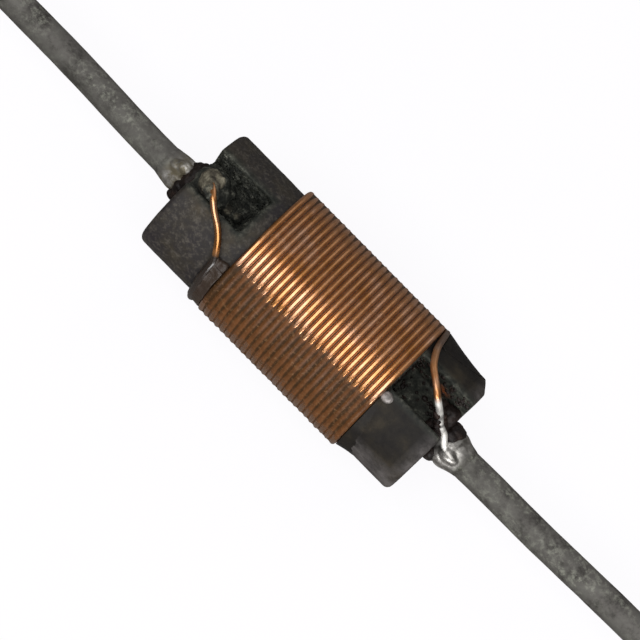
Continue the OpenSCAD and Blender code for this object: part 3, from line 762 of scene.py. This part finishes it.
class CHOKE_OT_stage(bpy.types.Operator):
    """Sets up the camera, the pale floor, the lamps and the even light all round."""
    bl_idname = "choke.stage"
    bl_label = "Stage"

    def execute(self, context):
        settings = context.scene.choke_stage
        scene = context.scene
        scene.view_settings.view_transform = "Standard"
        tilt, roll = math.radians(20), math.radians(45.5)
        towards = Vector((math.sin(math.radians(1.75)), -math.sin(tilt), math.cos(tilt))).normalized()
        right = Vector((math.cos(roll), math.sin(roll) * math.cos(tilt), math.sin(roll) * math.sin(tilt)))
        right = (right - right.dot(towards) * towards).normalized()
        up = towards.cross(right)
        camera = bpy.data.objects.new("camera", bpy.data.cameras.new("camera"))
        scene.collection.objects.link(camera)
        camera.data.sensor_width, camera.data.lens = 36.0, 201.5
        camera.data.clip_start, camera.data.clip_end = 0.001, 10.0
        aim = Vector((0.22, -0.065, -0.024)) * MM
        placed = Matrix((right, up, towards)).transposed().to_4x4()
        placed.translation = aim + towards * settings.distance
        camera.matrix_world = placed
        scene.camera = camera

        lowest = cad_box[0].z - 0.02 * MM
        work = bmesh.new()
        bmesh.ops.create_grid(work, x_segments=1, y_segments=1, size=0.6)
        bmesh.ops.translate(work, vec=(0, 0, lowest), verts=work.verts)
        mesh = bpy.data.meshes.new("floor")
        work.to_mesh(mesh)
        work.free()
        floor = new_piece("floor", mesh)
        floor.data.materials.append(self.white_paper())

        self.lamp("key_light", 26.0, 0.0, 0.2, (0.32, 0.15), settings.key)
        self.lamp("side_light", 84.0, 0.12, 0.16, (0.2, 0.06), settings.side)
        self.lamp("back_light", -52.0, 0.0, 0.2, (0.14, 0.4), settings.back)
        self.even_light(scene, settings.sky)
        return {"FINISHED"}

    def lamp(self, name, angle, along, distance, size, power):
        """A soft box that faces the part, at an angle from +Z towards -Y."""
        data = bpy.data.lights.new(name, "AREA")
        data.shape, data.size, data.size_y, data.energy = "RECTANGLE", size[0], size[1], power
        obj = bpy.data.objects.new(name, data)
        bpy.context.scene.collection.objects.link(obj)
        spot = around(along, angle, distance)
        turned = spot.to_track_quat("Z", "Y").to_matrix()
        side = Vector((1, 0, 0))
        z = spot.normalized()
        y = z.cross(side).normalized()
        turned = Matrix((y.cross(z), y, z)).transposed()
        obj.matrix_world = Matrix.Translation(spot) @ turned.to_4x4()

    def white_paper(self):
        """Matt white paper, lit so brightly to the camera that it reads as white."""
        material = bpy.data.materials.new("white_paper")
        material.use_nodes = True
        tree = material.node_tree
        tree.nodes.clear()
        place = put(tree, "ShaderNodeMapping", {"Vector": put(tree, "ShaderNodeTexCoord").outputs["Object"],
                                                "Scale": (1 / MM,) * 3})
        fibre = put(tree, "ShaderNodeTexNoise", {"Vector": place, "Scale": 0.4, "Detail": 4.0})
        paper = put(tree, "ShaderNodeValToRGB", {"Fac": fibre}, stops=((0.3, "#f4f4f5"), (0.7, "#f8f8f8")))
        ray = put(tree, "ShaderNodeLightPath").outputs
        # A small part on a large sheet sees little of it, so its mirror image is dimmer than the sheet
        matt = put(tree, "ShaderNodeBsdfDiffuse", {"Color": put(tree, "ShaderNodeMix", {
            "Factor": ray["Is Camera Ray"], "A": linear("#75726f"), "B": paper}, data_type="RGBA")})
        lit = put(tree, "ShaderNodeEmission", {"Color": linear("#fefdff"), "Strength": 1.0})
        share = put(tree, "ShaderNodeMath", {0: ray["Is Camera Ray"], 1: 0.93}, operation="MULTIPLY")
        mixed = put(tree, "ShaderNodeMixShader", {0: share, 1: matt, 2: lit})
        put(tree, "ShaderNodeOutputMaterial", {"Surface": mixed})
        return material

    def even_light(self, scene, strength):
        """White to the camera, an even soft light to matt faces, and a dimmer room in mirror images."""
        world = bpy.data.worlds.new("even_light")
        world.use_nodes = True
        scene.world = world
        tree = world.node_tree
        tree.nodes.clear()
        ray = put(tree, "ShaderNodeLightPath").outputs
        soft = put(tree, "ShaderNodeBackground", {"Color": linear("#ffffff"), "Strength": strength})
        room = put(tree, "ShaderNodeBackground", {"Color": linear("#6a6764"), "Strength": 1.0})
        white = put(tree, "ShaderNodeBackground", {"Color": linear("#fefdff"), "Strength": 1.0})
        mirrored = put(tree, "ShaderNodeMixShader", {0: ray["Is Glossy Ray"], 1: soft, 2: room})
        mixed = put(tree, "ShaderNodeMixShader", {0: ray["Is Camera Ray"], 1: mirrored, 2: white})
        put(tree, "ShaderNodeOutputWorld", {"Surface": mixed})


class CHOKE_OT_ferrite_rod(bpy.types.Operator):
    """Makes the ferrite rod, with grain, shallow waves and chipped edges on its ground faces."""
    bl_idname = "choke.ferrite_rod"
    bl_label = "Ferrite rod"

    def execute(self, context):
        settings = context.scene.choke_rod
        rod = cast("ferrite_rod", copy_of_node("ferrite_core"), settings.voxel, {
            "Lump size": 0.7, "Lump height": 0.008, "Grain size": 0.14, "Grain height": 0.006,
            "Edge wear": settings.wear, "Edge reach": 4, "Seed": 3.0,
            "Material": sintered_ferrite(settings)})
        finished(rod, "ferrite", "ferrite_core")
        return {"FINISHED"}


class CHOKE_OT_winding(bpy.types.Operator):
    """Winds the enamelled wire, from the solder of one lead round the rod to the solder of the other."""
    bl_idname = "choke.winding"
    bl_label = "Winding"

    def execute(self, context):
        settings = context.scene.choke_winding
        points, marks = wire_places(settings.rings, 10, settings.shake)
        wire = new_piece("copper_winding", polyline("wire_line", points, **marks))
        give(wire, tree_named("drawn_wire", drawn_wire_tree), {
            "Radius": settings.radius / MM, "Sides": settings.sides, "Unevenness": 0.006, "Patch size": 0.35,
            "Material": enamelled_copper(settings)})
        finished(settled(wire), "enamelled_copper", "winding_wire")
        return {"FINISHED"}


class CHOKE_OT_leads(bpy.types.Operator):
    """Draws the two thick tinned leads, each bent a little where it leaves its solder."""
    bl_idname = "choke.leads"
    bl_label = "Leads"

    def execute(self, context):
        settings = context.scene.choke_leads
        tin = tinned_copper(settings)
        for name, side in (("left", -1), ("right", 1)):
            lean = math.radians(LEAN[name])
            knee = Vector((FACE + SOLDER_LEN, 0, 0))
            points = [Vector((FACE - 2.55 + 0.08 * k, 0, 0)) for k in range(43)]
            run = Vector((math.cos(lean), math.sin(lean), 0))
            steps = 300
            for k in range(1, steps + 1):
                s = LEAD_LEN * k / steps
                wander = 0.02 * min(1.0, s / 2) * math.sin(s * 1.1 + 2 * side) * (1 - k / steps)
                points.append(knee + run * s + Vector((-run.y, run.x, 0)) * wander)
            points = [Vector((side * p.x, p.y, p.z)) for p in points]
            lead = new_piece("tinned_lead_" + name, polyline("lead_line_" + name, points))
            give(lead, tree_named("drawn_wire", drawn_wire_tree), {
                "Radius": LEAD_R, "Sides": settings.sides, "Unevenness": 0.016, "Patch size": 0.5,
                "Material": tin})
            settled(lead)
            lead.data.set_sharp_from_angle(angle=math.radians(50))
            finished(lead, "tinned_copper", "lead_" + name)
        return {"FINISHED"}


class CHOKE_OT_solder(bpy.types.Operator):
    """Casts the solder round the root of each lead, with its lumps."""
    bl_idname = "choke.solder"
    bl_label = "Solder"

    def execute(self, context):
        settings = context.scene.choke_solder
        tin = context.scene.choke_leads.tin
        left = blobs("left_lumps", (
            (around(-4.9, 8, 0.34), 0.22, (1.5, 1.0, 1.0)), (around(-4.76, -26, 0.32), 0.19, (1.4, 1.0, 1.0)),
            (around(-4.72, -66, 0.3), 0.19, (1.5, 1.0, 1.0)), (around(-5.0, 60, 0.25), 0.19, (1.8, 1.0, 1.0)),
            (around(-4.8, -2, 0.46), 0.2, (1.3, 1.0, 1.0)),
        ), lathe_along_x("left_collar", (
            (-4.43, 0.4), (-4.55, 0.43), (-4.7, 0.47), (-4.85, 0.485), (-5.0, 0.465), (-5.15, 0.44),
            (-5.28, 0.42), (-5.36, 0.41), (-5.38, LEAD_R - 0.05))))
        right = blobs("right_lumps", (
            (around(4.86, 40, 0.4), 0.22, (1.5, 1.0, 1.0)), (around(4.78, -34, 0.34), 0.24, (1.2, 1.0, 1.0)),
            (around(4.98, 8, 0.34), 0.2, (1.6, 1.2, 1.0)), (around(4.7, 70, 0.34), 0.24, (1.2, 1.0, 1.0)),
        ), lathe_along_x("right_collar", (
            (4.43, 0.43), (4.55, 0.46), (4.66, 0.52), (4.76, 0.555), (4.88, 0.545), (5.0, 0.505),
            (5.12, 0.46), (5.25, 0.43), (5.36, 0.412), (5.38, LEAD_R - 0.05))))
        for name, mesh, tint, share, seed in (
                ("left", left, "#625b4a", 0.8, 1.0), ("right", right, "#4a4441", 0.2, 6.0)):
            piece = cast("solder_cone_" + name, mesh, 0.02, {
                "Lump size": 0.4, "Lump height": 0.02, "Grain size": 0.14, "Grain height": 0.003,
                "Seed": seed, "Material": soft_solder("soft_solder_" + name, settings, tin, tint, share)},
                relax=12)
            finished(piece, "solder", "solder_" + name)
        return {"FINISHED"}


class CHOKE_OT_cement(bpy.types.Operator):
    """Sets the pale cement and the dark resin in the slots and round the roots of the leads."""
    bl_idname = "choke.cement"
    bl_label = "Cement and resin"

    def execute(self, context):
        settings = context.scene.choke_cement
        resin, cement = dark_resin(settings), grainy_cement(settings)
        # The heap at the slot's mouth buries the place where the start tail dives
        heap = blobs("heap", (
            (around(-3.76, 14, 1.87), 0.15, (1.1, 1.1, 0.9)), (around(-3.86, 12, 1.81), 0.19, (1.1, 1.1, 0.9)),
            (around(-3.96, 9, 1.7), 0.2, (1.1, 1.2, 0.9)), (around(-3.9, 1, 1.58), 0.16, (1.1, 1.2, 0.9)),
            (around(-4.1, 3, 1.48), 0.24, (1.1, 1.4, 1.0)), (around(-4.17, 2, 1.22), 0.26, (1.1, 1.2, 1.0)),
            (around(-4.27, -4, 0.98), 0.24, (1.0, 1.2, 1.0)), (around(-3.96, -9, 1.2), 0.2, (1.0, 1.2, 0.8))),
            copy_of_node("cement_left"))
        left = cast("pale_cement_left", heap, 0.02, {
            "Lump size": 0.22, "Lump height": 0.07, "Grain size": 0.1, "Grain height": 0.03,
            "Seed": 2.0, "Material": cement}, relax=10)
        dry = [max(clamp((radius - (v.co / MM - Vector(centre)).length) / 0.24 + 0.5)
                   for centre, radius in DRY_HEAPS) for v in left.data.vertices]
        left.data.attributes.new("dry", "FLOAT", "POINT").data.foreach_set("value", dry)
        finished(left, "pale_cement", "cement_left")
        for name, side, density, material in (("left", -1, 130.0, cement), ("right", 1, 40.0, resin)):
            crumbs = new_piece("slot_crumbs_" + name, slot_lining("lining_" + name, side))
            give(crumbs, tree_named("strewn_crumbs", crumbs_tree), {
                "Density": density, "Smallest": 0.02, "Largest": 0.085, "Seed": 4, "Material": material})
            finished(settled(crumbs), "pale_cement" if side < 0 else "dark_resin")
        # Resin has risen on both sides of the finish tail's tinned end
        banks = [(around(x, mid + side * math.degrees(0.1 / r), r), 0.095, (1.2, 1.0, 1.0)) for side in (-1, 1)
                 for x, mid, r in ((3.95, 0, 1.24), (4.05, 0, 1.0), (4.14, 1, 0.82), (4.23, 3, 0.7), (4.32, 5, 0.64))]
        right = cast("dark_resin_right", blobs("banks", banks, copy_of_node("cement_right")), 0.025, {
            "Lump size": 0.2, "Lump height": 0.05, "Grain size": 0.08, "Grain height": 0.012,
            "Seed": 5.0, "Material": resin}, relax=3)
        finished(right, "dark_resin", "cement_right")
        # Rings of resin that ran out between the rod and the solder. The right one leaves the wire bare.
        rings = {
            "left": [(around(-4.53 - 0.05 * math.sin(k * 2.1), 110 - 15 * k, 0.47 + 0.03 * math.sin(k * 1.3)),
                      0.15, (1.3, 1.0, 1.0)) for k in range(13)] + [
                (around(-4.5, 14, 0.6), 0.16, (1.1, 1.4, 1.0)), (around(-4.5, -6, 0.66), 0.17, (1.1, 1.4, 1.0)),
                (around(-4.47, -24, 0.7), 0.15, (1.0, 1.3, 1.1))],
            "right": [(around(4.53, 112, 0.47), 0.15, (1.2, 1.0, 1.0)), (around(4.5, 92, 0.5), 0.15, (1.2, 1.0, 1.0)),
                      (around(4.5, 74, 0.52), 0.14, (1.1, 1.0, 1.0)), (around(4.56, -6, 0.52), 0.15, (1.4, 1.0, 1.0)),
                      (around(4.6, -24, 0.53), 0.17, (1.5, 1.0, 1.0)), (around(4.62, -44, 0.5), 0.17, (1.5, 1.0, 1.0)),
                      (around(4.52, -62, 0.48), 0.16, (1.2, 1.0, 1.0)), (around(4.74, -33, 0.55), 0.1, (1.3, 1.2, 0.8))]}
        for k, (name, balls) in enumerate(rings.items()):
            piece = cast("root_resin_" + name, blobs("ring_" + name, balls), 0.02, {
                "Lump size": 0.2, "Lump height": 0.045, "Grain size": 0.08, "Grain height": 0.006,
                "Seed": 7.0 + k, "Material": resin}, relax=6)
            finished(piece, "dark_resin")
        return {"FINISHED"}


class CHOKE_OT_lacquer(bpy.types.Operator):
    """Runs the lacquer over the lower turns of the winding, beside its first and last turns, and one drop."""
    bl_idname = "choke.lacquer"
    bl_label = "Lacquer"

    def execute(self, context):
        settings = context.scene.choke_lacquer
        lacquer = brown_lacquer(settings)
        film = new_piece("lacquer_film", self.film(settings, context.scene.choke_winding.shake))
        film.data.materials.append(lacquer)
        film.data.transform(Matrix.Scale(MM, 4))
        finished(film, "lacquer")
        # The open start turn is buried in the left fillet, which also fills the gap to the next turn
        turns = [coil_place((angle - LEAVE_ANGLE) / 360) for angle in range(46, 262, 2)]
        buried = blobs("buried_turn", [(around(x, a, r - 0.01), 0.105, (1.2, 1.0, 1.0)) for x, a, r in turns]
                       + [(around(mix(x, COIL_LEFT, 0.6), a, 1.87), 0.12, (1.4, 1.0, 1.0)) for x, a, r in turns[:90]],
                       copy_of_node("lacquer_bead_left"))
        charcoal = context.scene.choke_rod.charcoal
        # Both are set a little deeper than in the frame, so that their thin borders sink into the rod
        sunk = Matrix.Diagonal((1.0, 0.988, 0.988, 1.0))
        for name, mesh, voxel, relax, brown, slot in (
                ("left", buried, 0.025, 8, 0.8, "lacquer"),
                ("right", copy_of_node("lacquer_bead_right"), 0, 0, 0.0, "dark_resin")):
            mesh.transform(sunk)
            fillet = cast("lacquer_fillet_" + name, mesh, voxel, {
                "Lump size": 0.3, "Lump height": mix(0.004, 0.05, brown), "Grain size": 0.12,
                "Grain height": mix(0.001, 0.01, brown), "Seed": 4.0,
                "Material": sooty_varnish("sooty_varnish_" + name, charcoal, brown)}, relax)
            finished(fillet, slot, "lacquer_bead_" + name)
        drop = cast("lacquer_drop", blobs("drop", (
            (around(2.77, 27, 1.83), 0.15, (1.2, 1.0, 0.9)),)), 0.02, {
                "Lump size": 0.2, "Lump height": 0.012, "Grain height": 0.0, "Material": droplet_with_painted_highlight()}, relax=2)
        finished(drop, "lacquer")
        return {"FINISHED"}

    def film(self, settings, shake):
        """A closed tube round the whole winding: it fills the dips between the turns and coats the lower ones."""
        per_turn, rows = 8, 180
        columns = TURNS * per_turn
        tops, lows, depths, spot = [], [], [], {}
        for j in range(rows + 1):
            share = j / rows
            angle = LEAVE_ANGLE - 360 * (1 - share)
            # The dips are full behind the rod and up to its top edge, where the dark filling is lacquer and painted
            # shade both, and half full in front
            full = clamp(max((-42 - angle) / 20, (angle - 150) / 40))
            for i in range(columns + 1):
                # After one turn round the rod the tube meets its own beginning, one pitch farther on
                if j == rows and i + per_turn <= columns:
                    spot[j, i] = spot[0, i + per_turn]
                    continue
                spot[j, i] = len(tops)
                turn = i / per_turn - 0.5
                nearest = min(max(round(turn), 0), TURNS - 1)
                sway, lift = wander(nearest + share, shake)
                x = COIL_LEFT + PITCH * (turn + share) + sway
                off = abs(turn - nearest) * PITCH
                crest = math.sqrt(max(0.0, 0.09 ** 2 - off * off)) + lift
                ripple = noise.fractal(around(x, angle, COIL_R) * 1.1, 0.6, 2.0, 4)
                coat = clamp(min((angle - settings.from_angle) / 8 + 0.3 * ripple,
                                 (settings.to_angle - angle) / 30))
                # Along the lowest turns it has been rubbed through in spots
                worn = noise.noise(around(x, angle, COIL_R) * 4.0 + Vector((7.0, 0.0, 0.0)))
                coat *= 1 - clamp((0.85 + 0.7 * worn) * math.exp(-((angle - 95) / 15) ** 2))
                level = mix(mix(0.045, 0.076, full), 0.082 + 0.01 * ripple, coat)
                level -= 2.5 * max(0.0, -turn, turn - TURNS + 1) * PITCH
                height = max(level, crest + mix(-0.03, 0.007, coat ** 0.5))
                tops.append(around(x, angle, COIL_R + height))
                lows.append(around(x, angle, CORE_R + 0.03))
                depths.append(clamp((height - crest) / 0.024) + 0.6 * clamp(1 - turn / 2))
        count = len(tops)
        faces = []
        for j in range(rows):
            for i in range(columns):
                a, b, c, d = spot[j, i], spot[j, i + 1], spot[j + 1, i + 1], spot[j + 1, i]
                faces += [(a, d, c, b), (a + count, b + count, c + count, d + count)]
        left = [(0, i) for i in range(per_turn + 1)] + [(j, 0) for j in range(rows - 1, 0, -1)]
        right = ([(j, columns) for j in range(rows + 1)]
                 + [(rows, i) for i in range(columns - 1, columns - per_turn, -1)])
        for rim in (left, right):
            for a, b in zip(rim, rim[1:] + rim[:1]):
                faces.append((spot[a], spot[b], spot[b] + count, spot[a] + count))
        mesh = bpy.data.meshes.new("lacquer_film")
        mesh.from_pydata(tops + lows, [], faces)
        mesh.attributes.new("depth", "FLOAT", "POINT").data.foreach_set("value", depths * 2)
        work = bmesh.new()
        work.from_mesh(mesh)
        bmesh.ops.recalc_face_normals(work, faces=work.faces)
        work.to_mesh(mesh)
        work.free()
        mesh.shade_smooth()
        mesh.set_sharp_from_angle(angle=math.radians(60))
        return mesh


class CHOKE_PT_panel(bpy.types.Panel):
    """Lists the pieces of the choke and their settings."""
    bl_idname = "CHOKE_PT_panel"
    bl_label = "Axial choke"
    bl_space_type = "VIEW_3D"
    bl_region_type = "UI"
    bl_category = "Choke"

    def draw(self, context):
        for operator, settings in PIECES:
            box = self.layout.box()
            box.operator(operator.bl_idname)
            group = getattr(context.scene, settings)
            for name in group.__annotations__:
                box.prop(group, name)


PIECES = (
    (CHOKE_OT_stage, "choke_stage"), (CHOKE_OT_ferrite_rod, "choke_rod"), (CHOKE_OT_winding, "choke_winding"),
    (CHOKE_OT_leads, "choke_leads"), (CHOKE_OT_solder, "choke_solder"), (CHOKE_OT_cement, "choke_cement"),
    (CHOKE_OT_lacquer, "choke_lacquer"))
SETTINGS = (
    (StageSettings, "choke_stage"), (RodSettings, "choke_rod"), (WindingSettings, "choke_winding"),
    (LeadSettings, "choke_leads"), (SolderSettings, "choke_solder"), (CementSettings, "choke_cement"),
    (LacquerSettings, "choke_lacquer"))


def register():
    for group, name in SETTINGS:
        bpy.utils.register_class(group)
        setattr(bpy.types.Scene, name, PointerProperty(type=group))
    for operator, _ in PIECES:
        bpy.utils.register_class(operator)
    bpy.utils.register_class(CHOKE_PT_panel)


def unregister():
    bpy.utils.unregister_class(CHOKE_PT_panel)
    for operator, _ in reversed(PIECES):
        bpy.utils.unregister_class(operator)
    for group, name in reversed(SETTINGS):
        delattr(bpy.types.Scene, name)
        bpy.utils.unregister_class(group)


def main():
    register()
    bpy.ops.choke.stage()
    bpy.ops.choke.ferrite_rod()
    bpy.ops.choke.winding()
    bpy.ops.choke.leads()
    bpy.ops.choke.solder()
    bpy.ops.choke.cement()
    bpy.ops.choke.lacquer()


if __name__ == "__main__":
    main()
